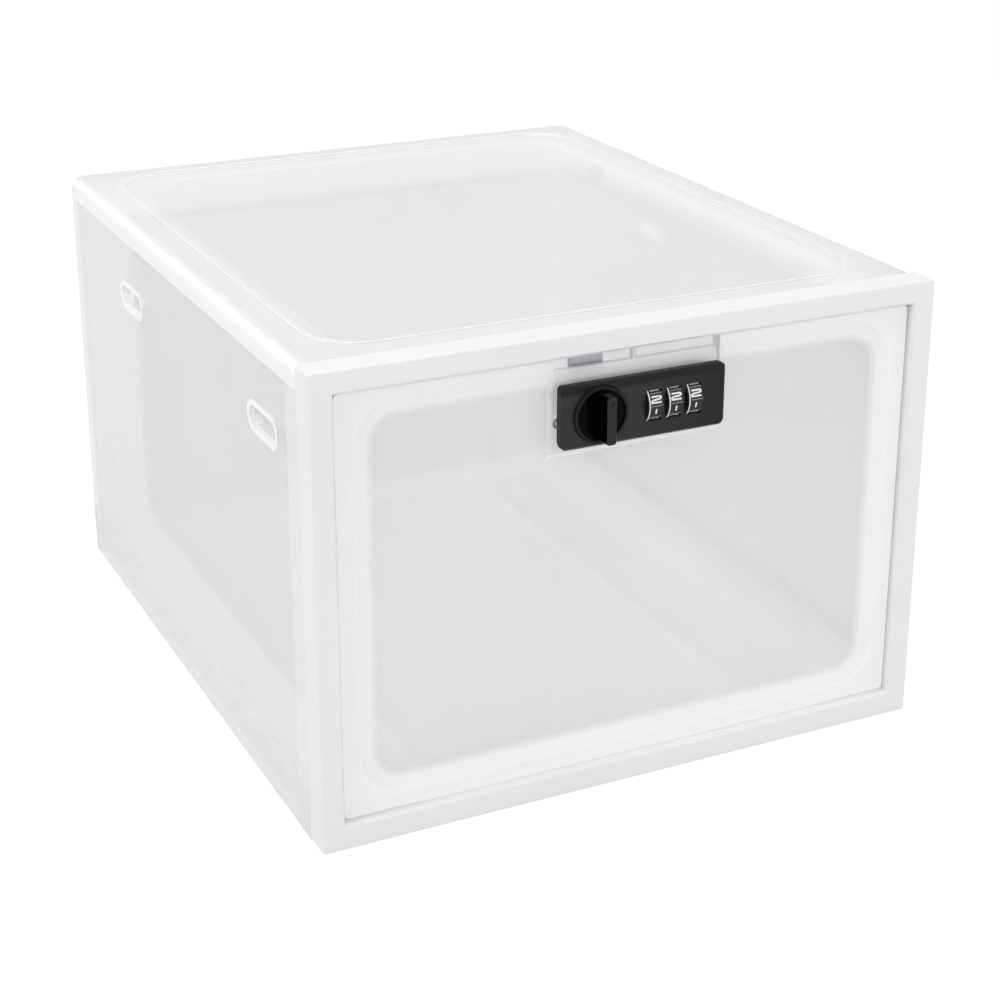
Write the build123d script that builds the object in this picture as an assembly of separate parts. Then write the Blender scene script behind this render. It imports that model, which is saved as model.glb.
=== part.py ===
from build123d import *
import math
import os

# Medication lock box: a clear case with a front bezel, a pull-out drawer and a three-wheel
# combination lock whose cam stands up behind the bezel's top rail.
# Sizes are in millimetres. The front faces -Y, up is +Z, and the case stands on Z = 0.

# How far a cut runs past the face that it opens, or a form into what it joins
overrun = 1.0

# Case shell
case_width = 280.0
case_depth = 338.0
case_height = 202.0
case_wall = 2.5
case_edge_radius = 6.0
runner_spread = 160.0
runner_width = 3.0
runner_gap = 0.3
runner_set_back = 3.0
rear_stop_height = 34.0
rear_stop_length = 4.0

# Window recess in the top, with its bead, and the groove under the base that fits over the bead
window_side_inset = 17.0
window_front_inset = 26.0
window_back_inset = 18.0
window_corner_radius = 22.0
window_recess = 3.0
window_slope = 9.0
bead_width = 2.4
bead_height = 0.8
bead_bevel = 0.35
stacking_clearance = 0.5

# Slots in the sides
slot_length = 30.0
slot_height = 9.0
slot_drop = 37.0
slot_set_backs = (53.0, 234.0)
slot_collar = 2.6
slot_collar_depth = 2.5

# Front bezel, a channel in section
bezel_depth = 13.0
bezel_stile = 10.0
bezel_top_rail = 9.8
bezel_bottom_rail = 10.8
bezel_face = 3.0
bezel_skirt = 1.2
bezel_return = 2.0
bezel_corner_radius = 1.5
bezel_edge_rounding = 0.8
bezel_lead_in = 1.2
bezel_rib = 1.2
bezel_rib_length = 4.5
bezel_rib_pitch = 45.0
rail_rib_count = 5
stile_rib_count = 3
strike_pocket_gap = 1.0
spigot_length = 5.0
spigot_clearance = 0.15

# Drawer
drawer_gap = 0.9
drawer_wall = 2.5
drawer_travel = 255.0
flange_set_back = 3.3
flange_corner_radius = 2.0
dish_depth = 2.2
dish_inset = 17.8
dish_top_inset = 14.3
dish_slope = 8.5
dish_outer_radius = 18.0
dish_inner_radius = 12.0
tub_inset = 17.5
tub_rear_gap = 32.0
tub_lift = 0.5
tub_rim_drop = 16.0
tub_bottom_radius = 30.0
tub_corner_radius = 16.0
rim_gap = 1.2
rim_thickness = 2.0
rim_lip = 4.0
rim_lip_thickness = 1.2
stop_catch = 3.0
stop_clearance = 0.5
stop_tip = 3.0
stop_foot = 9.0
stop_side_gap = 1.0
gusset_count = 6
gusset_first_drop = 36.0
gusset_pitch = 25.3
gusset_thickness = 1.6
gusset_reach = 10.0
gusset_edge = 1.0

# Seat and scoop for the lock at the top centre of the drawer's front
lock_drop = 33.5
seat_set_back = 3.0
seat_margin = 2.5
seat_below = 16.0
seat_cheek = 2.0
notch_drop = 16.3
scoop_lean = 3.5
notch_rib = 1.6
body_clearance = 0.3

# Lock housing
plate_width = 74.0
plate_height = 26.5
plate_thickness = 6.0
plate_corner_radius = 2.5
plate_chamfer = 0.9
plate_step = 2.2
plate_step_inset = 0.9
plate_lip = 4.8
body_height = 22.0
body_wall = 1.2
body_side_wall = 1.6
bay_side_gap = 0.8
knob_body_depth = 4.0
wheel_rear_gap = 0.6
window_wall = 1.2
cover_thickness = 1.4
cover_edge = 0.6

# Knob and spindle
knob_offset = 20.0
dial_radius = 11.7
dial_clearance = 0.25
dial_proud = 1.4
dial_lip = 1.1
dial_lip_height = 0.6
dial_sunk = 2.3
recess_floor_gap = 0.3
bearing_floor = 1.8
grip_length = 20.5
grip_width = 5.0
grip_tip_width = 4.1
grip_tip_length = 19.4
grip_proud = 10.0
grip_corner_radius = 1.0
grip_bevel = 0.4
dimple_radius = 0.9
dimple_depth = 0.5
dimple_height = 7.2
front_journal_radius = 2.5
rear_journal_radius = 3.5
front_square = 3.4
rear_square = 4.6
spindle_proud = 0.8
spindle_end_gap = 0.1
shoulder_gap = 0.05
square_clearance = 0.1
running_clearance = 0.05
knob_turn = 90.0

# Snail collar on the spindle, and the locking bar that it pushes
snail_base_radius = 6.0
snail_thickness = 2.6
snail_gap = 0.15
snail_set_back = 0.6
snail_pocket_gap = 0.8
snail_step_spread = 9.5
snail_steps = 18
bar_sheet = 0.5
bar_spine_sheet = 0.7
bar_end_gap = 0.6
bar_wheel_gap = 0.35
bar_roof_gap = 0.15
finger_depth = 2.4
tab_drop = 3.0
tab_gap = 1.0
bar_clearance = 0.25

# Cam with its washer and screw
cam_width = 14.6
cam_thickness = 1.8
cam_reach = 28.0
cam_tip_radius = 2.0
cam_gap = 1.1
strike_clearance = 0.8
washer_radius = 5.2
washer_thickness = 0.8
cam_screw_head_radius = 3.6
cam_screw_head = 2.2
cam_screw_radius = 1.45
cam_screw_length = 7.0
cross_width = 0.7
cross_length = 4.0
cross_depth = 1.2

# Number wheels and the code sleeves inside them
wheel_count = 3
knob_to_wheels = 23.9
wheel_pitch = 9.1
axle_depth = 6.2
wheel_width = 6.9
wheel_rim = 0.9
wheel_faces = 10
wheel_rest_angle = 16.0
wheel_slot_clearance = 0.4
wheel_side_clearance = 0.15
ridge_inset = 0.19
axle_radius = 1.25
axle_end_gap = 0.1
sleeve_radius = 3.4
sleeve_clearance = 0.06
sleeve_flange_radius = 4.7
sleeve_flange = 0.5
sleeve_side_gap = 0.15
sleeve_end_gap = 0.2
gate_width = 3.2
gate_floor = 0.1
gate_floor_gap = 0.25

# Springs, reset button and screws
spring_wire_radius = 0.25
spring_wire_sides = 4
bar_spring_radius = 1.3
bar_spring_turns = 5
bar_spring_lift = 2.0
reset_spring_radius = 1.75
reset_spring_turns = 3
spring_end_gap = 0.1
leaf_thickness = 0.3
leaf_rise = 0.65
leaf_length = 9.0
leaf_foot = 1.0
leaf_crest = 0.2
leaf_strip = 2.0
leaf_gap = 0.1
reset_stem_radius = 1.2
reset_head_radius = 2.0
reset_flange_radius = 2.6
reset_flange = 0.8
reset_proud = 1.1
reset_travel = 1.2
reset_ledge = 1.0
reset_ledge_half = 3.6
reset_room = 2.15
reset_side_gap = 0.1
reset_cover_gap = 0.4
reset_spring_closed = 1.6
reset_stem_length = 8.6
cover_screw_radius = 0.95
cover_screw_head_radius = 1.9
cover_screw_length = 4.5
cover_screw_inset = 2.4
screw_slot_width = 0.5
screw_slot_depth = 0.4
screw_tip_gap = 0.3
seat_screw_radius = 1.0
seat_screw_head_radius = 2.0
seat_screw_head = 1.5
seat_screw_inset = 2.4
seat_screw_drop = 4.5
seat_screw_bite = 4.0
screw_clearance = 0.05
screw_free_fit = 0.2

# Places worked out from the sizes above
half_width = case_width / 2
front_y = -case_depth / 2
back_y = case_depth / 2
bezel_rear_y = front_y + bezel_depth
opening_half = half_width - bezel_stile
opening_top = case_height - bezel_top_rail
opening_bottom = bezel_bottom_rail
panel_half = opening_half - drawer_gap
panel_top = opening_top - drawer_gap
panel_bottom = opening_bottom + drawer_gap
flange_y = front_y + flange_set_back
dish_y = flange_y + dish_depth
panel_rear_y = dish_y + drawer_wall
tub_half = half_width - tub_inset
tub_rear_y = back_y - tub_rear_gap
tub_bottom = opening_bottom + tub_lift
tub_top = case_height - tub_rim_drop
rim_half = opening_half - rim_gap
rim_width = rim_half - tub_half
lock_z = case_height - lock_drop
seat_y = front_y + seat_set_back
seat_rear_y = seat_y + drawer_wall
seat_half = plate_width / 2 + seat_margin
notch_z = case_height - notch_drop
plate_y = seat_y - plate_thickness
body_width = plate_width - 2 * plate_lip
body_half = body_width / 2
knob_body_y = seat_y + knob_body_depth
knob_x = -knob_offset
dial_rear_y = plate_y + dial_sunk
recess_y = dial_rear_y + recess_floor_gap
pocket_y = recess_y + bearing_floor
wheel_xs = [knob_x + knob_to_wheels + i * wheel_pitch for i in range(wheel_count)]
bay_half_height = body_height / 2 - body_wall
spine_top = bay_half_height - bar_roof_gap
spine_bottom = spine_top - bar_spine_sheet
wheel_radius = spine_bottom - bar_wheel_gap
axle_y = plate_y + axle_depth
wheel_body_y = axle_y + wheel_radius + wheel_rear_gap
bar_span = (pocket_y + bar_end_gap, knob_body_y - bar_end_gap)
wheel_gap = wheel_pitch - wheel_width
reset_x = wheel_xs[0] - wheel_width / 2 - wheel_gap - reset_room
bay_left = reset_x - reset_flange_radius - reset_side_gap
bay_right = wheel_xs[-1] + wheel_width / 2 + bay_side_gap
axle_right = body_half - body_side_wall
reset_spring_room = reset_travel + reset_spring_closed
step_x = bay_left - body_side_wall
bar_travel = 2 * sleeve_side_gap + sleeve_flange + bar_sheet
snail_rise = bar_travel / math.radians(knob_turn)
snail_y = pocket_y + snail_set_back
cam_y = knob_body_y + cover_thickness + cam_gap
cover_rear_y = wheel_body_y + cover_thickness


def block(x_span, y_span, z_span):
    """A box between two corners."""
    spans = (x_span, y_span, z_span)
    size = [high - low for low, high in spans]
    centre = [(high + low) / 2 for low, high in spans]
    return Pos(*centre) * Box(*size)


def along_x(outline, x_span):
    """A side outline of (y, z) points, drawn out along X."""
    low, high = x_span
    points = [(low, y, z) for y, z in outline]
    face = make_face(Polyline(*points, close=True))
    return extrude(face, amount=high - low, dir=(1, 0, 0))


def along_z(outline, z_span):
    """A plan outline of (x, y) points, drawn out along Z."""
    low, high = z_span
    points = [(x, y, low) for x, y in outline]
    face = make_face(Polyline(*points, close=True))
    return extrude(face, amount=high - low, dir=(0, 0, 1))


def front_plane(x, y, z):
    """A plane at y that faces the front, with its own x along +X and its own y along +Z."""
    return Plane(origin=(x, y, z), x_dir=(1, 0, 0), z_dir=(0, -1, 0))


def side_plane(x, y, z):
    """A plane at x that faces +X, with its own x along +Y and its own y along +Z."""
    return Plane(origin=(x, y, z), x_dir=(0, 1, 0), z_dir=(1, 0, 0))


def front_form(sketch, x, z, y_span):
    """A sketch seen from the front, drawn out between two depths."""
    near, far = y_span
    return extrude(front_plane(x, far, z) * sketch, amount=far - near)


def side_form(sketch, y, z, x_span):
    """A sketch seen from the right-hand side, drawn out between two places along X."""
    low, high = x_span
    return extrude(side_plane(low, y, z) * sketch, amount=high - low)


def rod_y(radius, x, z, y_span):
    return front_form(Circle(radius), x, z, y_span)


def rod_x(radius, y, z, x_span):
    return side_form(Circle(radius), y, z, x_span)


def window_outline(z, grow, radius):
    """The rounded outline of the top window, grown outwards, at one height."""
    low_y = front_y + window_front_inset - grow
    high_y = back_y - window_back_inset + grow
    half = half_width - window_side_inset + grow
    shape = RectangleRounded(2 * half, high_y - low_y, radius)
    return Pos(0, (low_y + high_y) / 2, z) * shape


def window_ring(z_span, inner, outer):
    """A ring round the window between two outlines."""
    low, high = z_span
    ring = window_outline(low, outer, window_corner_radius + outer)
    ring -= window_outline(low, inner, window_corner_radius + inner)
    return extrude(ring, amount=high - low)


def window_pan(top_z):
    """The sloping pan of the window, from its outline down to its floor."""
    outline = window_outline(top_z, 0, window_corner_radius)
    floor_radius = window_corner_radius - window_slope
    floor = window_outline(top_z - window_recess, -window_slope, floor_radius)
    return loft([outline, floor], ruled=True)


def case_block(inset, y_span, radius):
    """The case's outside, taken in by an inset, with its top and rear edges rounded."""
    side = half_width - inset
    box = block((-side, side), y_span, (inset, case_height - inset))
    top_edges = box.edges().filter_by(Axis.Y).group_by(Axis.Z)[-1]
    rear_edges = box.edges().filter_by(Axis.Z).group_by(Axis.Y)[-1]
    rear_top = box.edges().filter_by(Axis.X).group_by(Axis.Z)[-1].sort_by(Axis.Y)[-1:]
    return fillet(top_edges + rear_edges + rear_top, radius)


def spigot_block(inset, radius, y_span):
    """The front lip's outline, with its two top edges rounded."""
    side = half_width - inset
    box = block((-side, side), y_span, (inset, case_height - inset))
    return fillet(box.edges().filter_by(Axis.Y).group_by(Axis.Z)[-1], radius)


def make_case_shell():
    shell = case_block(0, (bezel_rear_y, back_y), case_edge_radius)
    lip_inset = bezel_skirt + spigot_clearance
    lip_span = (bezel_rear_y - spigot_length, bezel_rear_y + case_wall)
    shell += spigot_block(lip_inset, case_edge_radius - lip_inset, lip_span)
    inner_span = (lip_span[0] - overrun, back_y - case_wall)
    shell -= case_block(case_wall, inner_span, case_edge_radius - case_wall)
    # Window in the top: the pan hangs below the top wall and is dished from above
    shell += window_pan(case_height - case_wall)
    shell -= window_pan(case_height)
    bead = window_ring((case_height, case_height + bead_height), 0, bead_width)
    bead = chamfer(bead.faces().sort_by(Axis.Z)[-1].edges(), bead_bevel)
    shell += bead
    groove_depth = bead_height + stacking_clearance
    groove_out = bead_width + stacking_clearance
    shell -= window_ring((0, groove_depth), -stacking_clearance, groove_out)
    # Slots through both sides, each in a collar on the inside
    slot_z = case_height - slot_drop
    collar = SlotOverall(slot_length + 2 * slot_collar, slot_height + 2 * slot_collar)
    opening = SlotOverall(slot_length, slot_height)
    for side in (-1, 1):
        wall_x = side * (half_width - case_wall / 2)
        collar_x = side * (half_width - case_wall - slot_collar_depth)
        cut_span = (side * (half_width + overrun), collar_x - side * overrun)
        for set_back in slot_set_backs:
            slot_y = front_y + set_back
            shell += side_form(collar, slot_y, slot_z, sorted((wall_x, collar_x)))
            shell -= side_form(opening, slot_y, slot_z, sorted(cut_span))
    # Runners for the drawer, each with a stop at its rear end
    runner_top = tub_bottom - runner_gap
    runner_end = tub_rear_y + runner_gap + rear_stop_length
    for side in (-1, 1):
        centre = side * runner_spread / 2
        span = (centre - runner_width / 2, centre + runner_width / 2)
        foot = case_wall / 2
        shell += block(span, (bezel_rear_y + runner_set_back, runner_end), (foot, runner_top))
        stop_span = (tub_rear_y + runner_gap, runner_end)
        shell += block(span, stop_span, (foot, rear_stop_height))
    return shell


def make_front_bezel():
    outline = RectangleRounded(case_width, case_height, bezel_corner_radius)
    bezel = front_form(outline, 0, case_height / 2, (front_y, bezel_rear_y))
    bezel = fillet(bezel.faces().sort_by(Axis.Y)[0].edges(), bezel_edge_rounding)
    opening_z = (opening_top + opening_bottom) / 2
    opening_height = opening_top - opening_bottom
    # The channel, open at the rear, between the outer skirt and the return round the opening
    channel_y = front_y + bezel_face
    skirt_half = half_width - bezel_skirt
    return_half = opening_half + bezel_return
    channel_span = (channel_y, bezel_rear_y + overrun)
    channel = block((-skirt_half, skirt_half), channel_span, (bezel_skirt, case_height - bezel_skirt))
    sleeve_z = (opening_bottom - bezel_return, opening_top + bezel_return)
    channel -= block((-return_half, return_half), channel_span, sleeve_z)
    bezel -= channel
    # Ribs across the channel, short of the case's lip
    rib_span = (channel_y - bezel_face / 2, channel_y + bezel_rib_length)
    low_rail = (bezel_skirt / 2, opening_bottom - bezel_return / 2)
    high_rail = (opening_top + bezel_return / 2, case_height - bezel_skirt / 2)
    for i in range(rail_rib_count):
        rib_centre = (i - (rail_rib_count - 1) / 2) * bezel_rib_pitch
        rib_x = (rib_centre - bezel_rib / 2, rib_centre + bezel_rib / 2)
        for rail_span in (low_rail, high_rail):
            bezel += block(rib_x, rib_span, rail_span)
    for i in range(stile_rib_count):
        rib_centre = opening_z + (i - (stile_rib_count - 1) / 2) * bezel_rib_pitch
        rib_z = (rib_centre - bezel_rib / 2, rib_centre + bezel_rib / 2)
        for side in (-1, 1):
            rib_x = (return_half - bezel_return / 2, skirt_half + bezel_skirt / 2)
            rib_x = sorted((side * rib_x[0], side * rib_x[1]))
            bezel += block(rib_x, rib_span, rib_z)
    # Opening, with a lead-in round its front edge
    opening = Rectangle(2 * opening_half, opening_height)
    wide = Rectangle(2 * (opening_half + bezel_lead_in), opening_height + 2 * bezel_lead_in)
    bezel -= front_form(opening, 0, opening_z, (front_y - overrun, bezel_rear_y + overrun))
    mouth = front_plane(0, front_y, opening_z) * wide
    throat = front_plane(0, front_y + bezel_lead_in, opening_z) * opening
    bezel -= loft([mouth, throat], ruled=True)
    # Pocket behind the strike, where the cam swings up into the rail
    rail_gap = opening_top - lock_z
    swing = math.sqrt(cam_reach ** 2 - rail_gap ** 2) + cam_width / 2
    pocket_x = (knob_x - swing - strike_pocket_gap, knob_x + cam_width / 2 + strike_pocket_gap)
    strike_y = cam_y - strike_clearance
    pocket_z = (opening_top - overrun, opening_top + bezel_return + overrun)
    bezel -= block(pocket_x, (strike_y, bezel_rear_y + overrun), pocket_z)
    return bezel


def tub_block(inset, y_span, top_z):
    """The tub's form, taken in by an inset, rounded along the bottom and round the rear."""
    side = tub_half - inset
    box = block((-side, side), y_span, (tub_bottom + inset, top_z))
    bottom_edges = box.edges().filter_by(Axis.Y).group_by(Axis.Z)[0]
    box = fillet(bottom_edges, tub_bottom_radius - inset)
    rear_edges = box.faces().sort_by(Axis.Y)[-1].edges()
    rear_edges = rear_edges.sort_by(Axis.Z)[:-1]
    return fillet(rear_edges, tub_corner_radius - inset)


def rim_block(grow, z_span):
    """The rim's outline round the tub, grown outwards from the tub."""
    side = tub_half + grow
    box = block((-side, side), (flange_y + drawer_wall / 2, tub_rear_y + grow), z_span)
    rear_edges = box.edges().filter_by(Axis.Z).group_by(Axis.Y)[-1]
    return fillet(rear_edges, tub_corner_radius + grow)


def dish_outline(y, step, radius):
    """The outline of the dished centre at one depth, taken in by a step."""
    side = half_width - dish_inset - step
    low = dish_inset + step
    high = case_height - dish_top_inset - step
    shape = RectangleRounded(2 * side, high - low, radius)
    return front_plane(0, y, (low + high) / 2) * shape


def seat_wall():
    """The lock's seat, one wall thick: upright behind the plate, leaning back above it."""
    foot = lock_z - seat_below
    lean_y = seat_y + scoop_lean
    wall = drawer_wall
    outline = [
        (dish_y, foot - wall),
        (seat_y, foot),
        (seat_y, lock_z),
        (lean_y, notch_z),
        (lean_y + wall, notch_z),
        (seat_rear_y, lock_z),
        (seat_rear_y, foot + wall),
        (panel_rear_y, foot),
        (panel_rear_y, foot - wall),
    ]
    return along_x(outline, (-seat_half, seat_half))


def seat_cheek_wall(side):
    """The wedge-shaped cheek at one side of the seat."""
    foot = lock_z - seat_below
    outline = [
        (dish_y, foot - drawer_wall),
        (seat_y, foot),
        (seat_y, lock_z),
        (flange_y, panel_top),
        (seat_y + scoop_lean + drawer_wall, panel_top),
        (seat_y + scoop_lean + drawer_wall, notch_z),
        (panel_rear_y, lock_z),
        (panel_rear_y, foot - drawer_wall),
    ]
    return along_x(outline, sorted((side * seat_half, side * (seat_half - seat_cheek))))


def make_drawer():
    panel_z = (panel_top + panel_bottom) / 2
    flange = RectangleRounded(2 * panel_half, panel_top - panel_bottom, flange_corner_radius)
    drawer = front_form(flange, 0, panel_z, (flange_y, flange_y + drawer_wall))
    drawer += tub_block(0, (flange_y, tub_rear_y), tub_top)
    # Rim round the tub, with its edge turned down
    rim_z = tub_top - rim_thickness
    drawer += rim_block(rim_width, (rim_z, tub_top))
    lip = rim_block(rim_width, (rim_z - rim_lip, rim_z))
    lip -= rim_block(rim_width - rim_lip_thickness, (rim_z - rim_lip - overrun, rim_z + overrun))
    drawer += lip
    drawer -= tub_block(drawer_wall, (panel_rear_y, tub_rear_y - drawer_wall), case_height)
    # Dished centre of the front, inside its sloping ring
    outer = dish_outline(flange_y, 0, dish_outer_radius)
    inner = dish_outline(dish_y, dish_slope, dish_inner_radius)
    drawer -= loft([outer, inner], ruled=True)
    # Seat and scoop for the lock
    foot = lock_z - seat_below - drawer_wall
    seat_span = (flange_y - overrun, panel_rear_y + overrun)
    drawer -= block((-seat_half, seat_half), seat_span, (foot, case_height))
    drawer += seat_wall()
    for side in (-1, 1):
        drawer += seat_cheek_wall(side)
    rib_y = seat_y + scoop_lean
    rib_x = (-notch_rib / 2, notch_rib / 2)
    drawer += block(rib_x, (rib_y, rib_y + drawer_wall), (notch_z - overrun, panel_top))
    hole_x = (-body_half - body_clearance, body_half + body_clearance)
    hole_half = body_height / 2 + body_clearance
    hole_z = (lock_z - hole_half, lock_z + hole_half)
    drawer -= block(hole_x, seat_span, hole_z)
    for x in seat_screw_xs():
        hole_span = (seat_y - overrun, seat_rear_y + overrun)
        drawer -= rod_y(seat_screw_radius + screw_free_fit, x, seat_screw_z(), hole_span)
    # Small gussets behind the flange, up both sides of the tub
    for i in range(gusset_count):
        gusset_z = case_height - gusset_first_drop - i * gusset_pitch
        for side in (-1, 1):
            root = side * (tub_half - drawer_wall / 2)
            outline = [
                (root, flange_y + drawer_wall / 2),
                (side * (panel_half - gusset_edge), flange_y + drawer_wall / 2),
                (side * (panel_half - gusset_edge), flange_y + drawer_wall),
                (root, flange_y + drawer_wall + gusset_reach),
            ]
            drawer += along_z(outline, (gusset_z - gusset_thickness, gusset_z))
    # Stop lugs on the rim, which catch behind the bezel's top rail
    lug_y = bezel_rear_y + drawer_travel + stop_clearance
    lug_outline = [
        (lug_y, rim_z),
        (lug_y, opening_top + stop_catch),
        (lug_y + stop_tip, opening_top + stop_catch),
        (lug_y + stop_foot, rim_z),
    ]
    for side in (-1, 1):
        lug_x = sorted((side * (tub_half - stop_side_gap), side * (rim_half - stop_side_gap)))
        drawer += along_x(lug_outline, lug_x)
    return drawer


def seat_screw_xs():
    reach = plate_width / 2 - seat_screw_inset
    return (-reach, reach)


def seat_screw_z():
    return lock_z - seat_screw_drop


def cover_screw_seats():
    """Where the cover's screws go: x, height from the lock's centre line, and depth of the seat."""
    left = -body_half + cover_screw_inset
    right = (bay_right + body_half) / 2
    rise = body_height / 2 - cover_screw_inset
    seats = []
    for side in (-1, 1):
        seats.append((left, lock_z + side * rise, knob_body_y + cover_thickness))
        seats.append((right, lock_z + side * rise, cover_rear_y))
    return seats


def plate_outline(inset):
    size_x = plate_width - 2 * inset
    size_z = plate_height - 2 * inset
    return RectangleRounded(size_x, size_z, plate_corner_radius - inset)


def make_lock_housing():
    step_y = seat_y - plate_step
    housing = front_form(plate_outline(0), 0, lock_z, (plate_y, step_y))
    housing = chamfer(housing.faces().sort_by(Axis.Y)[0].edges(), plate_chamfer)
    housing += front_form(plate_outline(plate_step_inset), 0, lock_z, (step_y, seat_y))
    body_z = (lock_z - body_height / 2, lock_z + body_height / 2)
    housing += block((-body_half, body_half), (seat_y - overrun, knob_body_y), body_z)
    housing += block((step_x, body_half), (seat_y - overrun, wheel_body_y), body_z)
    # Dial recess and the spindle's front bearing
    housing -= rod_y(dial_radius + dial_clearance, knob_x, lock_z, (plate_y - overrun, recess_y))
    bearing = front_journal_radius + running_clearance
    housing -= rod_y(bearing, knob_x, lock_z, (recess_y - overrun, pocket_y + overrun))
    # Pocket for the snail collar, with room beside it for the bar's tab and spring
    snail_room = snail_base_radius + bar_travel + snail_pocket_gap
    rear = knob_body_y + overrun
    housing -= rod_y(snail_room, knob_x, lock_z, (pocket_y, rear))
    tab_room = (knob_x, step_x)
    tab_z = (lock_z - tab_drop - tab_gap, lock_z + bay_half_height)
    housing -= block(tab_room, (pocket_y, rear), tab_z)
    # Bay for the wheels, open at the rear, with a window for each wheel
    bay_z = (lock_z - bay_half_height, lock_z + bay_half_height)
    bay_y = (plate_y + window_wall, wheel_body_y + overrun)
    housing -= block((bay_left, bay_right), bay_y, bay_z)
    for x in wheel_xs:
        half = wheel_width / 2 + wheel_side_clearance
        housing -= rod_x(wheel_radius + wheel_slot_clearance, axle_y, lock_z, (x - half, x + half))
    # Slot for the locking bar between pocket and bay, and the axle's two holes
    spine_room = (lock_z + spine_bottom - bar_clearance, lock_z + bay_half_height)
    slot_span = (bar_span[0] - bar_clearance, bar_span[1] + bar_clearance)
    housing -= block((step_x - overrun, bay_left + overrun), slot_span, spine_room)
    axle_hole = axle_radius + running_clearance / 2
    axle_span = (step_x - axle_end_gap, axle_right)
    housing -= rod_x(axle_hole, axle_y, lock_z, axle_span)
    # Ledge that guides the reset button's stem and carries its spring
    ledge_y = reset_ledge_span()
    ledge_x = (bay_left - body_side_wall / 2, reset_x + reset_flange_radius)
    ledge = block(ledge_x, ledge_y, (lock_z - reset_ledge_half, lock_z + reset_ledge_half))
    guide = (ledge_y[0] - overrun, ledge_y[1] + overrun)
    ledge -= rod_y(reset_stem_radius + running_clearance, reset_x, lock_z, guide)
    housing += ledge
    # Holes for the screws
    for x in seat_screw_xs():
        bite = (seat_y - seat_screw_bite - screw_tip_gap, seat_y + overrun)
        housing -= rod_y(seat_screw_radius + screw_clearance, x, seat_screw_z(), bite)
    for x, z, seat in cover_screw_seats():
        bite = (seat - cover_screw_length - screw_tip_gap, seat + overrun)
        housing -= rod_y(cover_screw_radius + screw_clearance, x, z, bite)
    return housing


def make_lock_rear_cover():
    web_x = step_x - cover_thickness
    body_z = (lock_z - body_height / 2, lock_z + body_height / 2)
    cover = block((-body_half, step_x), (knob_body_y, knob_body_y + cover_thickness), body_z)
    cover += block((web_x, step_x), (knob_body_y, cover_rear_y), body_z)
    cover += block((web_x, body_half), (wheel_body_y, cover_rear_y), body_z)
    corner = cover.edges().filter_by(Axis.Z).sort_by(Axis.Y)[-2:]
    cover = fillet(corner, cover_edge)
    bearing = rear_journal_radius + running_clearance
    cover -= rod_y(bearing, knob_x, lock_z, (knob_body_y - overrun, cover_rear_y))
    button = reset_head_radius + running_clearance
    cover -= rod_y(button, reset_x, lock_z, (wheel_body_y - overrun, cover_rear_y + overrun))
    for x, z, seat in cover_screw_seats():
        hole_span = (seat - cover_thickness - overrun, seat + overrun)
        cover -= rod_y(cover_screw_radius + screw_clearance, x, z, hole_span)
        cover -= screw_cone(x, z, seat, screw_clearance)
    return cover


def screw_cone(x, z, seat, grow):
    """The countersunk head of a cover screw, flush with its seat."""
    rise = cover_screw_head_radius - cover_screw_radius
    wide = front_plane(x, seat, z) * Circle(cover_screw_head_radius + grow)
    narrow = front_plane(x, seat - rise, z) * Circle(cover_screw_radius + grow)
    return loft([wide, narrow], ruled=True)


def make_cover_screws():
    screws = []
    for x, z, seat in cover_screw_seats():
        screw = screw_cone(x, z, seat, 0)
        screw += rod_y(cover_screw_radius, x, z, (seat - cover_screw_length, seat - screw_slot_depth))
        slot_x = (x - cover_screw_head_radius - overrun, x + cover_screw_head_radius + overrun)
        slot_z = (z - screw_slot_width / 2, z + screw_slot_width / 2)
        screw -= block(slot_x, (seat - screw_slot_depth, seat + overrun), slot_z)
        screws.append(screw)
    return Compound(children=screws)


def make_mounting_screws():
    screws = []
    for x in seat_screw_xs():
        z = seat_screw_z()
        head = rod_y(seat_screw_head_radius, x, z, (seat_rear_y, seat_rear_y + seat_screw_head))
        head = chamfer(head.edges().sort_by(Axis.Y)[-1], seat_screw_head / 2)
        middle = seat_rear_y + seat_screw_head / 2
        screw = head + rod_y(seat_screw_radius, x, z, (seat_y - seat_screw_bite, middle))
        slot_x = (x - screw_slot_width / 2, x + screw_slot_width / 2)
        slot_z = (z - seat_screw_head_radius - overrun, z + seat_screw_head_radius + overrun)
        screw -= block(slot_x, (middle, seat_rear_y + seat_screw_head + overrun), slot_z)
        screws.append(screw)
    return Compound(children=screws)


def make_wheel_axle():
    axle = rod_x(axle_radius, axle_y, lock_z, (step_x, axle_right - axle_end_gap))
    return chamfer(axle.edges().filter_by(GeomType.CIRCLE), axle_radius / 5)


def decagon(apothem):
    """The wheel's ten sides, with one of them below the front's horizontal by the rest angle."""
    corner = apothem / math.cos(math.pi / wheel_faces)
    turn = 180.0 + wheel_rest_angle + 180.0 / wheel_faces
    return RegularPolygon(corner, wheel_faces, rotation=turn)


def make_number_wheel(x):
    left = x - wheel_width / 2
    right = x + wheel_width / 2
    corner = wheel_radius - ridge_inset
    wheel = rod_x(wheel_radius, axle_y, lock_z, (left, left + wheel_rim))
    wheel = chamfer(wheel.edges().sort_by(Axis.X)[0], wheel_rim / 3)
    drum = decagon(corner * math.cos(math.pi / wheel_faces))
    wheel += side_form(drum, axle_y, lock_z, (left + wheel_rim / 2, right))
    bore = decagon(sleeve_radius * math.cos(math.pi / wheel_faces) + sleeve_clearance)
    wheel -= side_form(bore, axle_y, lock_z, (left - overrun, right + overrun))
    return wheel


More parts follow.
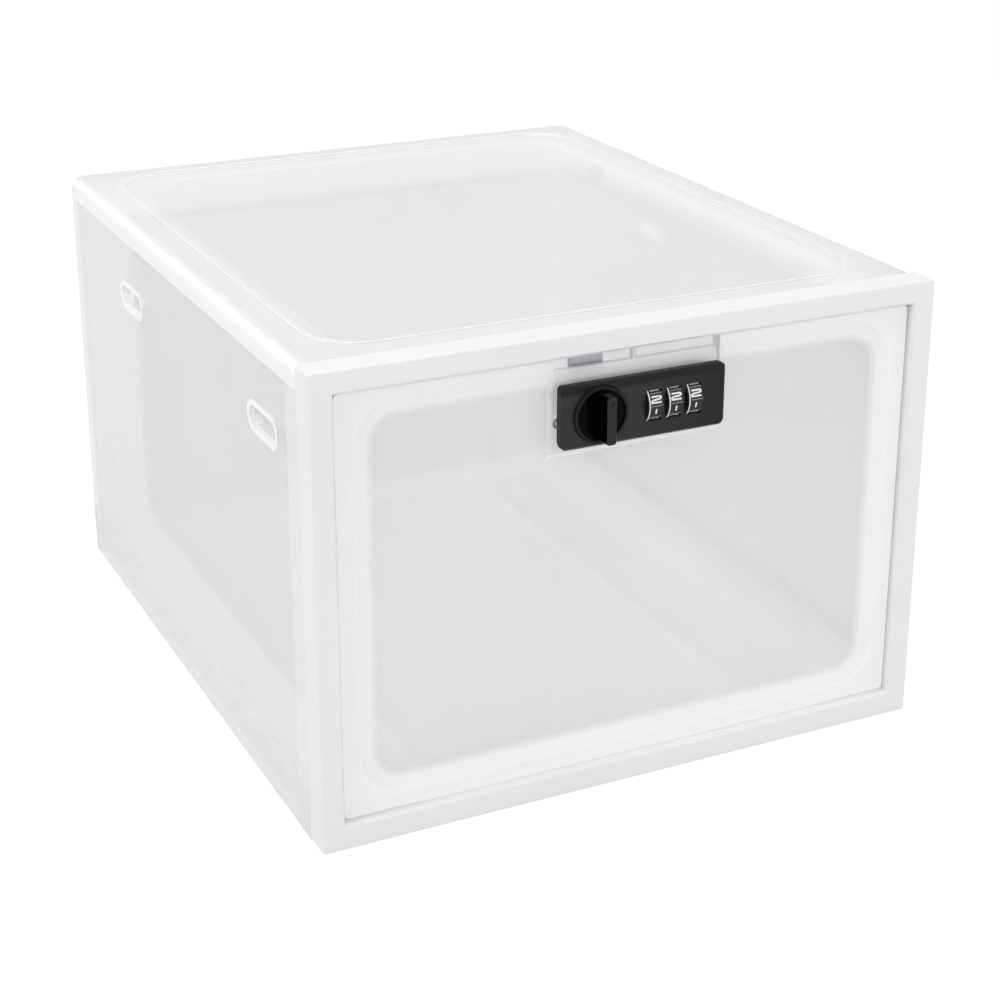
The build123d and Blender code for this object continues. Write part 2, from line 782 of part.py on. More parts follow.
def make_code_sleeve(x):
    left = x - wheel_width / 2
    right = x + wheel_width / 2
    flange_right = left - wheel_gap + 2 * sleeve_side_gap + bar_sheet + sleeve_flange
    flange_span = (flange_right - sleeve_flange, flange_right)
    flange = rod_x(sleeve_flange_radius, axle_y, lock_z, flange_span)
    gate_y = (axle_y - gate_width / 2, axle_y + gate_width / 2)
    gate_z = (lock_z + sleeve_radius + gate_floor, lock_z + sleeve_flange_radius + overrun)
    flange -= block((flange_span[0] - overrun, flange_span[1] + overrun), gate_y, gate_z)
    barrel = decagon(sleeve_radius * math.cos(math.pi / wheel_faces))
    sleeve = flange + side_form(barrel, axle_y, lock_z, (flange_span[0], right - sleeve_end_gap))
    bore = axle_radius + running_clearance
    return sleeve - rod_x(bore, axle_y, lock_z, (flange_span[0] - overrun, right + overrun))


def make_locking_bar():
    spine_z = (lock_z + spine_bottom, lock_z + spine_top)
    finger_y = (axle_y - finger_depth / 2, axle_y + finger_depth / 2)
    tab_left = knob_x + snail_base_radius + snail_gap
    last_left = wheel_xs[-1] - wheel_width / 2 - wheel_gap + sleeve_side_gap
    bar = block((tab_left, last_left + bar_sheet), bar_span, spine_z)
    bar += block((tab_left, tab_left + bar_sheet), bar_span, (lock_z - tab_drop, spine_z[1]))
    finger_tip = lock_z + sleeve_radius + gate_floor + gate_floor_gap
    for x in wheel_xs:
        left = x - wheel_width / 2 - wheel_gap + sleeve_side_gap
        bar += block((left, left + bar_sheet), finger_y, (finger_tip, spine_z[1]))
    return bar


def coil(radius, turns, length):
    """A coil spring from the origin along +Z."""
    pitch = length / turns
    path = Helix(pitch, length, radius)
    start = Plane(origin=path @ 0, z_dir=path % 0)
    wire = start * RegularPolygon(spring_wire_radius, spring_wire_sides)
    return sweep(wire, path=path, is_frenet=True)


def make_bar_spring():
    left = knob_x + snail_base_radius + snail_gap + bar_sheet
    length = step_x - left - 2 * (spring_wire_radius + spring_end_gap)
    spring = coil(bar_spring_radius, bar_spring_turns, length)
    start_x = left + spring_wire_radius + spring_end_gap
    middle_y = (bar_span[0] + bar_span[1]) / 2
    return Pos(start_x, middle_y, lock_z + bar_spring_lift) * Rot(0, 90, 0) * spring


def reset_ledge_span():
    far = reset_flange_y() - reset_spring_room
    return (far - reset_ledge, far)


def reset_flange_y():
    return wheel_body_y - reset_flange - reset_cover_gap


def make_reset_spring():
    near = reset_ledge_span()[1]
    length = reset_flange_y() - near - 2 * (spring_wire_radius + spring_end_gap)
    spring = coil(reset_spring_radius, reset_spring_turns, length)
    start_y = near + spring_wire_radius + spring_end_gap
    return Pos(reset_x, start_y, lock_z) * Rot(-90, 0, 0) * spring


def make_reset_button():
    flange_near = reset_flange_y()
    flange_far = flange_near + reset_flange
    head_far = cover_rear_y + reset_proud
    button = rod_y(reset_head_radius, reset_x, lock_z, (flange_near, head_far))
    button = chamfer(button.edges().sort_by(Axis.Y)[-1], reset_head_radius / 4)
    button += rod_y(reset_flange_radius, reset_x, lock_z, (flange_near, flange_far))
    stem_near = head_far - reset_stem_length
    button += rod_y(reset_stem_radius, reset_x, lock_z, (stem_near, flange_far))
    tip = button.edges().sort_by(Axis.Y)[0]
    return chamfer(tip, reset_stem_radius / 2)


def make_detent_spring():
    low = lock_z - bay_half_height + leaf_gap
    foot = leaf_foot + leaf_thickness / 3
    outline = [
        (-leaf_length / 2, 0),
        (-leaf_foot, 0),
        (-leaf_crest, leaf_rise),
        (leaf_crest, leaf_rise),
        (leaf_foot, 0),
        (leaf_length / 2, 0),
        (leaf_length / 2, -leaf_thickness),
        (foot, -leaf_thickness),
        (leaf_crest, leaf_rise - leaf_thickness),
        (-leaf_crest, leaf_rise - leaf_thickness),
        (-foot, -leaf_thickness),
        (-leaf_length / 2, -leaf_thickness),
    ]
    base = low + leaf_thickness
    tongue = [(axle_y + y, base + z) for y, z in outline]
    spring = None
    for x in wheel_xs:
        blade = along_x(tongue, (x - wheel_width / 3, x + wheel_width / 3))
        spring = blade if spring is None else spring + blade
    strip_y = (axle_y + leaf_length / 2 - leaf_strip, axle_y + leaf_length / 2)
    strip_x = (wheel_xs[0] - wheel_width / 3, wheel_xs[-1] + wheel_width / 3)
    return spring + block(strip_x, strip_y, (low, base))


def make_knob():
    dial_front = plate_y - dial_proud
    dial = rod_y(dial_radius, knob_x, lock_z, (dial_front, dial_rear_y))
    sunk = (dial_front - overrun, dial_front + dial_lip_height)
    dial -= rod_y(dial_radius - dial_lip, knob_x, lock_z, sunk)
    tip_y = plate_y - grip_proud
    foot_y = dial_front + dial_lip_height
    foot_shape = RectangleRounded(grip_width, grip_length, grip_corner_radius)
    foot = front_plane(knob_x, foot_y, lock_z) * foot_shape
    tip_shape = RectangleRounded(grip_tip_width, grip_tip_length, grip_corner_radius)
    tip = front_plane(knob_x, tip_y, lock_z) * tip_shape
    grip = loft([foot, tip], ruled=True)
    grip = chamfer(grip.faces().sort_by(Axis.Y)[0].edges(), grip_bevel)
    dimple = (tip_y - overrun, tip_y + dimple_depth)
    grip -= rod_y(dimple_radius, knob_x, lock_z + dimple_height, dimple)
    knob = dial + grip
    socket = Rectangle(front_square + 2 * square_clearance, front_square + 2 * square_clearance)
    socket_y = (plate_y - spindle_proud - spindle_end_gap, dial_rear_y + overrun)
    return knob - front_form(socket, knob_x, lock_z, socket_y)


def make_spindle():
    front_end = plate_y - spindle_proud
    spindle = front_form(Rectangle(front_square, front_square), knob_x, lock_z, (front_end, recess_y))
    journal_y = (recess_y - spindle_end_gap, snail_y + snail_thickness / 2)
    spindle += rod_y(front_journal_radius, knob_x, lock_z, journal_y)
    spindle += snail_collar()
    shoulder = cam_y - shoulder_gap
    spindle += rod_y(rear_journal_radius, knob_x, lock_z, (snail_y + snail_thickness, shoulder))
    tail = Rectangle(rear_square, rear_square)
    tail_y = (shoulder - shoulder_gap, cam_y + cam_thickness - spindle_end_gap)
    spindle += front_form(tail, knob_x, lock_z, tail_y)
    thread = cam_screw_radius + screw_clearance
    depth = cam_y + cam_thickness + washer_thickness - cam_screw_length - screw_tip_gap
    return spindle - rod_y(thread, knob_x, lock_z, (depth, cam_y + cam_thickness + overrun))


def snail_collar():
    """A disc whose radius at the bar's tab grows in step with the knob's turn."""
    points = []
    for i in range(snail_steps + 1):
        turn = knob_turn * i / snail_steps
        radius = snail_base_radius + snail_rise * math.radians(turn)
        angle = math.radians(-turn)
        points.append((radius * math.cos(angle), radius * math.sin(angle)))
    foot_angle = -knob_turn - snail_step_spread
    foot = base_point(foot_angle)
    rise = Spline(*points)
    step = Line(points[-1], foot)
    base = ThreePointArc(foot, base_point(foot_angle / 2 + 180), points[0])
    face = make_face([rise, step, base])
    return front_form(face, knob_x, lock_z, (snail_y, snail_y + snail_thickness))


def base_point(degrees):
    angle = math.radians(degrees)
    return (snail_base_radius * math.cos(angle), snail_base_radius * math.sin(angle))


def make_lock_cam():
    half = cam_width / 2
    foot = Circle(half)
    blade = Pos(0, cam_reach / 2) * Rectangle(cam_width, cam_reach)
    corners = blade.vertices().sort_by(Axis.Y)[-2:]
    blade = fillet(corners, cam_tip_radius)
    hole = Rectangle(rear_square + 2 * square_clearance, rear_square + 2 * square_clearance)
    shape = foot + blade - hole
    return front_form(shape, knob_x, lock_z, (cam_y, cam_y + cam_thickness))


def make_cam_washer():
    near = cam_y + cam_thickness
    shape = Circle(washer_radius) - Circle(cam_screw_radius + 2 * screw_clearance)
    return front_form(shape, knob_x, lock_z, (near, near + washer_thickness))


def make_cam_screw():
    seat = cam_y + cam_thickness + washer_thickness
    head = rod_y(cam_screw_head_radius, knob_x, lock_z, (seat, seat + cam_screw_head))
    head = chamfer(head.edges().sort_by(Axis.Y)[-1], cam_screw_head / 3)
    shank_y = (seat - cam_screw_length, seat + cam_screw_head / 2)
    screw = head + rod_y(cam_screw_radius, knob_x, lock_z, shank_y)
    top = seat + cam_screw_head
    cross = Rectangle(cross_width, cross_length) + Rectangle(cross_length, cross_width)
    screw -= front_form(cross, knob_x, lock_z, (top - cross_depth, top + overrun))
    return screw


def main():
    os.makedirs("parts", exist_ok=True)
    pieces = {
        "case_shell": make_case_shell(),
        "front_bezel": make_front_bezel(),
        "drawer": make_drawer(),
        "lock_housing": make_lock_housing(),
        "lock_rear_cover": make_lock_rear_cover(),
        "cover_screws": make_cover_screws(),
        "mounting_screws": make_mounting_screws(),
        "wheel_axle": make_wheel_axle(),
        "detent_spring": make_detent_spring(),
        "locking_bar": make_locking_bar(),
        "bar_spring": make_bar_spring(),
        "reset_button": make_reset_button(),
        "reset_spring": make_reset_spring(),
        "knob": make_knob(),
        "spindle": make_spindle(),
        "lock_cam": make_lock_cam(),
        "cam_washer": make_cam_washer(),
        "cam_screw": make_cam_screw(),
    }
    for number, x in enumerate(wheel_xs, start=1):
        pieces[f"number_wheel_{number}"] = make_number_wheel(x)
        pieces[f"code_sleeve_{number}"] = make_code_sleeve(x)
    for name, piece in pieces.items():
        export_step(piece, f"parts/{name}.step")


main()
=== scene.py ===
import bpy
import math
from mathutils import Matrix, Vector


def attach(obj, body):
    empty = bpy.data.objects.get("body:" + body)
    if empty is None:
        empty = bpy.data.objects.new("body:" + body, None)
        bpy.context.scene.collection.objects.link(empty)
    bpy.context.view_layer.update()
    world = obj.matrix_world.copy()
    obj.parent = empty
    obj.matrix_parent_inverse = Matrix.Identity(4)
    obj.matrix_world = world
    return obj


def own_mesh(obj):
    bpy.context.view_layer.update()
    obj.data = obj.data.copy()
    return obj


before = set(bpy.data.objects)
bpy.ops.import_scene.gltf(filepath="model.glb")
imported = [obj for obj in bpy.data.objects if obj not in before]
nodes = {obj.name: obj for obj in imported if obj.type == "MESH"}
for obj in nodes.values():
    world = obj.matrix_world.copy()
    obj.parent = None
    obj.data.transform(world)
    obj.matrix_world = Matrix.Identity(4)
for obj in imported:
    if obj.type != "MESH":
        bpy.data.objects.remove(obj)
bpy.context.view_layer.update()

# Case shell: the outer box, one moulding in clear plastic that the haze of the tool's finish
# turns milky. It carries the window recess with its bead, the side slots and the runners.
# A haze is the share of light that one skin of the plastic stops.
case_haze = 0.33
case_edge_haze = 0.2
case_light = (0.865, 0.858, 0.882)
case_shade = (0.83, 0.823, 0.847)
# Painted highlight on slopes and rounded edges, also the white of the thicker places
highlight_and_thick_white = (0.985, 0.98, 0.995)
clear_gloss = 0.3
gloss_spread = 0.1
clear_ior = 1.49
flow_scale = 9.0
skin_scale = 60.0
skin_depth = 0.0003
skin_strength = 0.04
flat_from = 0.995
sloping_from = 0.9
white_per_haze = 2.0
# Light from the lamps meets only this share of the haze, so that the inside is evenly lit
light_share = 0.15
# Slots: a straight run with round ends, and a collar round it
slot_middle_y = -0.0255
slot_half_spread = 0.0905
slot_middle_z = 0.165
slot_half_straight = 0.0105
slot_collar_edge = 0.0071
slot_collar_x = 0.1377
slot_collar_haze = 0.5
slot_collar_blend = 0.0002
# Bead and raised rim of the top, and the runners on the floor
bead_foot_z = 0.20203
bead_haze = 0.02
rim_foot_z = 0.2016
rim_haze = 0.17
runner_middle_x = 0.08
runner_half = 0.0017
runner_top_z = 0.0114
runner_clearer = -0.2
# Whiter bands along the walls' upper and front edges, and painted shade: a grey foot on the side walls
wall_inner_x = 0.1374
wall_inner_y = 0.1664
wall_skin_x = 0.138
upper_band_foot = 0.1913
upper_band_top = 0.1917
upper_band_haze = 0.45
front_band_start = -0.1445
front_band_end = -0.1435
front_band_haze = 0.22
foot_shade_low = 0.018
foot_shade_high = 0.026
foot_shade_haze = 0.4
foot_shade_grey = (0.77, 0.77, 0.772)


def worked_out(tree, operation, first, second=None):
    """One step of arithmetic in a material, on numbers or on what other nodes give."""
    step = tree.nodes.new("ShaderNodeMath")
    step.operation = operation
    for socket, value in zip(step.inputs, (first, second)):
        if value is None:
            continue
        if isinstance(value, float):
            socket.default_value = value
        else:
            tree.links.new(value, socket)
    return step.outputs["Value"]


def graded(tree, value, low, high, from_low, from_high):
    """Carries a value from one span to another, evenly and no further than its ends."""
    grade = tree.nodes.new("ShaderNodeMapRange")
    grade.inputs["From Min"].default_value = low
    grade.inputs["From Max"].default_value = high
    grade.inputs["To Min"].default_value = from_low
    grade.inputs["To Max"].default_value = from_high
    tree.links.new(value, grade.inputs["Value"])
    return grade.outputs["Result"]


def distance(tree, across, up):
    """How far a place lies from a middle, from its distances across and up."""
    squares = worked_out(tree, "ADD", worked_out(tree, "MULTIPLY", across, across),
                         worked_out(tree, "MULTIPLY", up, up))
    return worked_out(tree, "SQRT", squares)


def sloping(tree, place):
    """1 on slopes and rounded edges, 0 on faces square to the box."""
    across = tree.nodes.new("ShaderNodeVectorMath")
    across.operation = "ABSOLUTE"
    parts = tree.nodes.new("ShaderNodeSeparateXYZ")
    tree.links.new(place.outputs["Normal"], across.inputs[0])
    tree.links.new(across.outputs["Vector"], parts.inputs["Vector"])
    steepest = worked_out(tree, "MAXIMUM", parts.outputs["X"], parts.outputs["Y"])
    steepest = worked_out(tree, "MAXIMUM", steepest, parts.outputs["Z"])
    return graded(tree, steepest, sloping_from, flat_from, 1.0, 0.0)


def clear_plastic(name, haze, edge_haze, light, shade, thick_haze_and_shade):
    """Hazy clear moulding: cloudy flow marks in the colour, a fine uneven skin in the gloss,
    and a painted highlight in whiter colour on slopes and rounded edges. thick_haze_and_shade adds
    the white of the thicker places, and gives the haze of painted shade, in grey, if there is any."""
    material = bpy.data.materials.new(name)
    material.use_nodes = True
    tree = material.node_tree
    shader = tree.nodes["Principled BSDF"]
    shader.inputs["IOR"].default_value = clear_ior
    place = tree.nodes.new("ShaderNodeTexCoord")
    flow = tree.nodes.new("ShaderNodeTexNoise")
    flow.inputs["Scale"].default_value = flow_scale
    flow.inputs["Detail"].default_value = 3.0
    colour = tree.nodes.new("ShaderNodeValToRGB")
    colour.color_ramp.elements[0].position = 0.3
    colour.color_ramp.elements[0].color = (*shade, 1)
    colour.color_ramp.elements[1].position = 0.7
    colour.color_ramp.elements[1].color = (*light, 1)
    skin = tree.nodes.new("ShaderNodeTexNoise")
    skin.inputs["Scale"].default_value = skin_scale
    skin.inputs["Detail"].default_value = 2.0
    whiter = tree.nodes.new("ShaderNodeMix")
    whiter.data_type = "RGBA"
    whiter.inputs["B"].default_value = (*highlight_and_thick_white, 1)
    bump = tree.nodes.new("ShaderNodeBump")
    bump.inputs["Strength"].default_value = skin_strength
    bump.inputs["Distance"].default_value = skin_depth
    spot = tree.nodes.new("ShaderNodeSeparateXYZ")
    tree.links.new(place.outputs["Object"], flow.inputs["Vector"])
    tree.links.new(place.outputs["Object"], skin.inputs["Vector"])
    tree.links.new(place.outputs["Object"], spot.inputs["Vector"])
    slope = sloping(tree, place)
    milk = graded(tree, slope, 0.0, 1.0, haze, haze + edge_haze)
    thick, painted_shade = thick_haze_and_shade(tree, spot)
    milk = worked_out(tree, "ADD", milk, thick)
    # Painted highlight: slopes and rounded edges take the whiter colour, and so do thicker places
    highlight_and_thick_share = worked_out(tree, "MAXIMUM", slope, worked_out(tree, "MULTIPLY", thick, white_per_haze))
    colour_out = whiter.outputs["Result"]
    if painted_shade:
        milk = worked_out(tree, "ADD", milk, painted_shade)
        # Painted shade: grey mixed into the colour where the places ask for it
        shaded_colour = tree.nodes.new("ShaderNodeMix")
        shaded_colour.data_type = "RGBA"
        shaded_colour.inputs["B"].default_value = (*foot_shade_grey, 1)
        tree.links.new(graded(tree, painted_shade, 0.0, foot_shade_haze, 0.0, 1.0), shaded_colour.inputs["Factor"])
        tree.links.new(colour_out, shaded_colour.inputs["A"])
        colour_out = shaded_colour.outputs["Result"]
    path = tree.nodes.new("ShaderNodeLightPath")
    dimmed = graded(tree, path.outputs["Is Shadow Ray"], 0.0, 1.0, 1.0, light_share)
    milk = worked_out(tree, "MULTIPLY", worked_out(tree, "MINIMUM", milk, 1.0), dimmed)
    tree.links.new(milk, shader.inputs["Alpha"])
    tree.links.new(worked_out(tree, "MINIMUM", highlight_and_thick_share, 1.0), whiter.inputs["Factor"])
    tree.links.new(flow.outputs["Fac"], colour.inputs["Fac"])
    tree.links.new(colour.outputs["Color"], whiter.inputs["A"])
    tree.links.new(colour_out, shader.inputs["Base Color"])
    roughness = graded(tree, skin.outputs["Fac"], 0.0, 1.0, clear_gloss, clear_gloss + gloss_spread)
    tree.links.new(roughness, shader.inputs["Roughness"])
    tree.links.new(skin.outputs["Fac"], bump.inputs["Height"])
    tree.links.new(bump.outputs["Normal"], shader.inputs["Normal"])
    return material


def case_thickness_and_foot_shade(tree, spot):
    """Whiter collars round the side slots, bead, top and upper and front edges of the walls,
    clearer runners, and painted shade: a grey, hazier foot on the side walls."""
    along = worked_out(tree, "ABSOLUTE", worked_out(tree, "SUBTRACT", spot.outputs["Y"], slot_middle_y))
    along = worked_out(tree, "ABSOLUTE", worked_out(tree, "SUBTRACT", along, slot_half_spread))
    along = worked_out(tree, "MAXIMUM", worked_out(tree, "SUBTRACT", along, slot_half_straight), 0.0)
    up = worked_out(tree, "SUBTRACT", spot.outputs["Z"], slot_middle_z)
    far = distance(tree, along, up)
    near_slot = graded(tree, far, slot_collar_edge - slot_collar_blend, slot_collar_edge + slot_collar_blend,
                       slot_collar_haze, 0.0)
    out = worked_out(tree, "ABSOLUTE", spot.outputs["X"])
    collar = worked_out(tree, "MULTIPLY", near_slot, worked_out(tree, "GREATER_THAN", out, slot_collar_x))
    bead = worked_out(tree, "GREATER_THAN", spot.outputs["Z"], bead_foot_z)
    rim = worked_out(tree, "GREATER_THAN", spot.outputs["Z"], rim_foot_z)
    top = worked_out(tree, "ADD", worked_out(tree, "MULTIPLY", bead, bead_haze),
                     worked_out(tree, "MULTIPLY", rim, rim_haze))
    beside = worked_out(tree, "ABSOLUTE", worked_out(tree, "SUBTRACT", out, runner_middle_x))
    runner = worked_out(tree, "MULTIPLY", worked_out(tree, "LESS_THAN", beside, runner_half),
                        worked_out(tree, "LESS_THAN", spot.outputs["Z"], runner_top_z))
    runner = worked_out(tree, "MULTIPLY", runner, runner_clearer)
    in_side = worked_out(tree, "GREATER_THAN", out, wall_inner_x)
    in_rear = worked_out(tree, "GREATER_THAN", spot.outputs["Y"], wall_inner_y)
    in_wall = worked_out(tree, "MAXIMUM", in_side, in_rear)
    upper = graded(tree, spot.outputs["Z"], upper_band_foot, upper_band_top, 0.0, upper_band_haze)
    front = graded(tree, spot.outputs["Y"], front_band_start, front_band_end, front_band_haze, 0.0)
    bands = worked_out(tree, "MULTIPLY", worked_out(tree, "MAXIMUM", upper, front), in_wall)
    # Painted shade on the side walls' foot, in haze and in grey
    foot = graded(tree, spot.outputs["Z"], foot_shade_low, foot_shade_high, foot_shade_haze, 0.0)
    foot = worked_out(tree, "MULTIPLY", foot, worked_out(tree, "GREATER_THAN", out, wall_skin_x))
    white = worked_out(tree, "ADD", collar, top)
    white = worked_out(tree, "ADD", white, worked_out(tree, "ADD", runner, bands))
    return white, foot


def dress(name, material):
    """Puts one finish on a node of the frame."""
    mesh = nodes[name].data
    mesh.materials.clear()
    mesh.materials.append(material)


case_plastic = clear_plastic("clear_case_plastic", case_haze, case_edge_haze,
                             case_light, case_shade, case_thickness_and_foot_shade)
dress("case_shell", case_plastic)

# Front bezel: a white moulded frame, a channel in section, that snaps over the case's front lip.
# Its satin face has a very fine grain and hardly any colour.
bezel_light = (0.89, 0.872, 0.893)
bezel_shade = (0.865, 0.847, 0.868)
tone_scale = 14.0
grain_depth = 0.0002


def solid_plastic(name, light, shade, dull_from, dull_to, grain, grain_strength, shine=0.5):
    """Opaque moulding or paint with a fine grain and slow changes of tone."""
    material = bpy.data.materials.new(name)
    material.use_nodes = True
    tree = material.node_tree
    shader = tree.nodes["Principled BSDF"]
    shader.inputs["Specular IOR Level"].default_value = shine
    place = tree.nodes.new("ShaderNodeTexCoord")
    tone = tree.nodes.new("ShaderNodeTexNoise")
    tone.inputs["Scale"].default_value = tone_scale
    tone.inputs["Detail"].default_value = 3.0
    colour = tree.nodes.new("ShaderNodeValToRGB")
    colour.color_ramp.elements[0].position = 0.3
    colour.color_ramp.elements[0].color = (*shade, 1)
    colour.color_ramp.elements[1].position = 0.7
    colour.color_ramp.elements[1].color = (*light, 1)
    fine = tree.nodes.new("ShaderNodeTexNoise")
    fine.inputs["Scale"].default_value = grain
    fine.inputs["Detail"].default_value = 5.0
    dull = tree.nodes.new("ShaderNodeMapRange")
    dull.inputs["To Min"].default_value = dull_from
    dull.inputs["To Max"].default_value = dull_to
    bump = tree.nodes.new("ShaderNodeBump")
    bump.inputs["Strength"].default_value = grain_strength
    bump.inputs["Distance"].default_value = grain_depth
    tree.links.new(place.outputs["Object"], tone.inputs["Vector"])
    tree.links.new(place.outputs["Object"], fine.inputs["Vector"])
    tree.links.new(tone.outputs["Fac"], colour.inputs["Fac"])
    tree.links.new(colour.outputs["Color"], shader.inputs["Base Color"])
    tree.links.new(fine.outputs["Fac"], dull.inputs["Value"])
    tree.links.new(dull.outputs["Result"], shader.inputs["Roughness"])
    tree.links.new(fine.outputs["Fac"], bump.inputs["Height"])
    tree.links.new(bump.outputs["Normal"], shader.inputs["Normal"])
    return material


bezel_plastic = solid_plastic("satin_white_plastic", bezel_light, bezel_shade, dull_from=0.38,
                              dull_to=0.5, grain=900.0, grain_strength=0.12)
dress("front_bezel", bezel_plastic)

# Drawer: tub and dished front in one clear moulding, a little clearer than the case's.
# Its front is whiter in the ring round the dish and in the flange. It carries the lock.
drawer_haze = 0.3
drawer_edge_haze = 0.42
drawer_light = (0.87, 0.853, 0.857)
drawer_shade = (0.83, 0.812, 0.816)
dish_half_width = 0.1137
dish_middle_z = 0.10275
dish_half_height = 0.07645
dish_corner = 0.012
dish_ring_width = 0.0085
front_rear_y = -0.1605
ring_haze = 0.42
flange_haze = 0.5
ring_fades_in = (-0.0012, 0.0028)
flange_fades_in = (-0.0012, 0.0006)


def front_ring(tree, spot):
    """The ring round the dish and the flat flange outside it, on the drawer's front only."""
    across = worked_out(tree, "ABSOLUTE", spot.outputs["X"])
    across = worked_out(tree, "SUBTRACT", across, dish_half_width - dish_corner)
    up = worked_out(tree, "ABSOLUTE", worked_out(tree, "SUBTRACT", spot.outputs["Z"], dish_middle_z))
    up = worked_out(tree, "SUBTRACT", up, dish_half_height - dish_corner)
    across = worked_out(tree, "MAXIMUM", across, 0.0)
    up = worked_out(tree, "MAXIMUM", up, 0.0)
    out = worked_out(tree, "SUBTRACT", distance(tree, across, up), dish_corner)
    ring = graded(tree, out, *ring_fades_in, 0.0, ring_haze)
    flange = graded(tree, out, dish_ring_width + flange_fades_in[0], dish_ring_width + flange_fades_in[1],
                    0.0, ring_haze - flange_haze)
    in_front = worked_out(tree, "LESS_THAN", spot.outputs["Y"], front_rear_y)
    return worked_out(tree, "MULTIPLY", worked_out(tree, "SUBTRACT", ring, flange), in_front), None


drawer_plastic = clear_plastic("clear_drawer_plastic", drawer_haze, drawer_edge_haze,
                               drawer_light, drawer_shade, front_ring)
dress("drawer", drawer_plastic)

# Lock housing and rear cover: black moulded plate and body, screwed to the drawer from behind.
# The plate's face is satin black with a fine spark grain. A painted sheen keeps its left part lighter,
# with painted shade at its top edge and right-hand end, starting at these places, in metres from the middle
# of the box and from the floor
plate_shade_from = -0.006
plate_shade_to = 0.036
plate_shade_share = 0.9
plate_top_shade_from = 0.1773
plate_top_shade_to = 0.179
plate_painted_shade = (0.0045, 0.0036, 0.0042)


def second_tone(material, colour, share):
    """Mixes a second colour into a plastic's own, by a share worked out from the place on the piece."""
    tree = material.node_tree
    base = tree.nodes["Principled BSDF"].inputs["Base Color"]
    own_colour = base.links[0].from_socket
    place = tree.nodes.new("ShaderNodeTexCoord")
    spot = tree.nodes.new("ShaderNodeSeparateXYZ")
    mixed = tree.nodes.new("ShaderNodeMix")
    mixed.data_type = "RGBA"
    mixed.inputs["B"].default_value = (*colour, 1)
    tree.links.new(place.outputs["Object"], spot.inputs["Vector"])
    tree.links.new(share(tree, spot), mixed.inputs["Factor"])
    tree.links.new(own_colour, mixed.inputs["A"])
    tree.links.new(mixed.outputs["Result"], base)


def plate_sheen_and_shade(tree, spot):
    """Painted shade at the plate's right-hand end and its top edge, beside the painted sheen at its left."""
    end = graded(tree, spot.outputs["X"], plate_shade_from, plate_shade_to, 0.0, plate_shade_share)
    top = graded(tree, spot.outputs["Z"], plate_top_shade_from, plate_top_shade_to, 0.0, 1.0)
    return worked_out(tree, "MAXIMUM", end, top)


housing_black = solid_plastic("satin_black_plastic", light=(0.03, 0.0265, 0.028),
                              shade=(0.025, 0.022, 0.0235), dull_from=0.36, dull_to=0.5,
                              grain=700.0, grain_strength=0.15, shine=0.22)
# Painted sheen and shade on the plate's face
second_tone(housing_black, plate_painted_shade, plate_sheen_and_shade)
dress("lock_housing", housing_black)
dress("lock_rear_cover", housing_black)

# Knob: a deep black dial with a grip bar across it, pressed on the square front end of the spindle.
# The dial's deep black is partly painted reflection of the dark bar; the bar's front and the dial's lip
# carry a lighter painted sheen.
knob_middle_x = -0.02
knob_middle_z = 0.1685
dial_lip_radius = 0.01062
grip_front_y = -0.1814
lip_sheen_share = 0.6
knob_painted_sheen = (0.037, 0.033, 0.035)


def knob_sheen_places(tree, spot):
    """Painted sheen on the front of the grip bar and on the lip round the dial."""
    across = worked_out(tree, "SUBTRACT", spot.outputs["X"], knob_middle_x)
    up = worked_out(tree, "SUBTRACT", spot.outputs["Z"], knob_middle_z)
    lip = worked_out(tree, "GREATER_THAN", distance(tree, across, up), dial_lip_radius)
    lip = worked_out(tree, "MULTIPLY", lip, lip_sheen_share)
    grip_front = worked_out(tree, "LESS_THAN", spot.outputs["Y"], grip_front_y)
    return worked_out(tree, "MAXIMUM", lip, grip_front)


knob_black = solid_plastic("glossy_black_plastic", light=(0.0022, 0.002, 0.0022),
                           shade=(0.0012, 0.0011, 0.0012), dull_from=0.1, dull_to=0.18,
                           grain=300.0, grain_strength=0.06, shine=0.04)
# Painted sheen on the bar's front and the dial's lip
second_tone(knob_black, knob_painted_sheen, knob_sheen_places)
dress("knob", knob_black)

# Number wheels: three black ten-sided wheels side by side on one pin, each over its code sleeve.
# Each side has a digit filled in white. A white line round the left-hand edge and grey lines on the ridges
# are painted highlights.
wheel_axis_y = -0.1658
wheel_axis_z = 0.1685
wheel_middle_xs = (0.0039, 0.013, 0.0221)
wheel_sides = 10
# Degrees by which the side with the 1 lies below the middle of the window at rest
wheel_rest_angle = 16.0
side_distance = 0.007998
corner_distance = 0.00841
rim_distance = 0.0086
rim_width = 0.0009
wheel_width = 0.0069
digit_width = 0.005
digit_height = 0.0031
digit_stroke = 0.00072
digit_proud = 0.00004
sharpest_mitre = 0.5
ridge_half_width = 0.00018
ridge_proud = 0.00001
ridge_from_line = 0.0006
ridge_from_edge = 0.0004
line_from_edge = 0.0003
line_width = 0.0005
line_proud = 0.00002
line_steps = 72
wheel_black = solid_plastic("wheel_black_plastic", light=(0.02, 0.02, 0.022), shade=(0.014, 0.014, 0.015),
                            dull_from=0.28, dull_to=0.4, grain=500.0, grain_strength=0.12, shine=0.25)
# White paint for the digits, and for the painted highlight round each wheel's left-hand edge
digit_and_highlight_white = solid_plastic("white_digit_and_highlight_paint", light=(0.86, 0.86, 0.87), shade=(0.8, 0.8, 0.81),
                            dull_from=0.45, dull_to=0.6, grain=800.0, grain_strength=0.1)
# Painted highlight for the ridges between the sides
ridge_highlight_grey = solid_plastic("painted_ridge_highlight", light=(0.3, 0.3, 0.305), shade=(0.2, 0.2, 0.205),
                           dull_from=0.35, dull_to=0.5, grain=900.0, grain_strength=0.1)
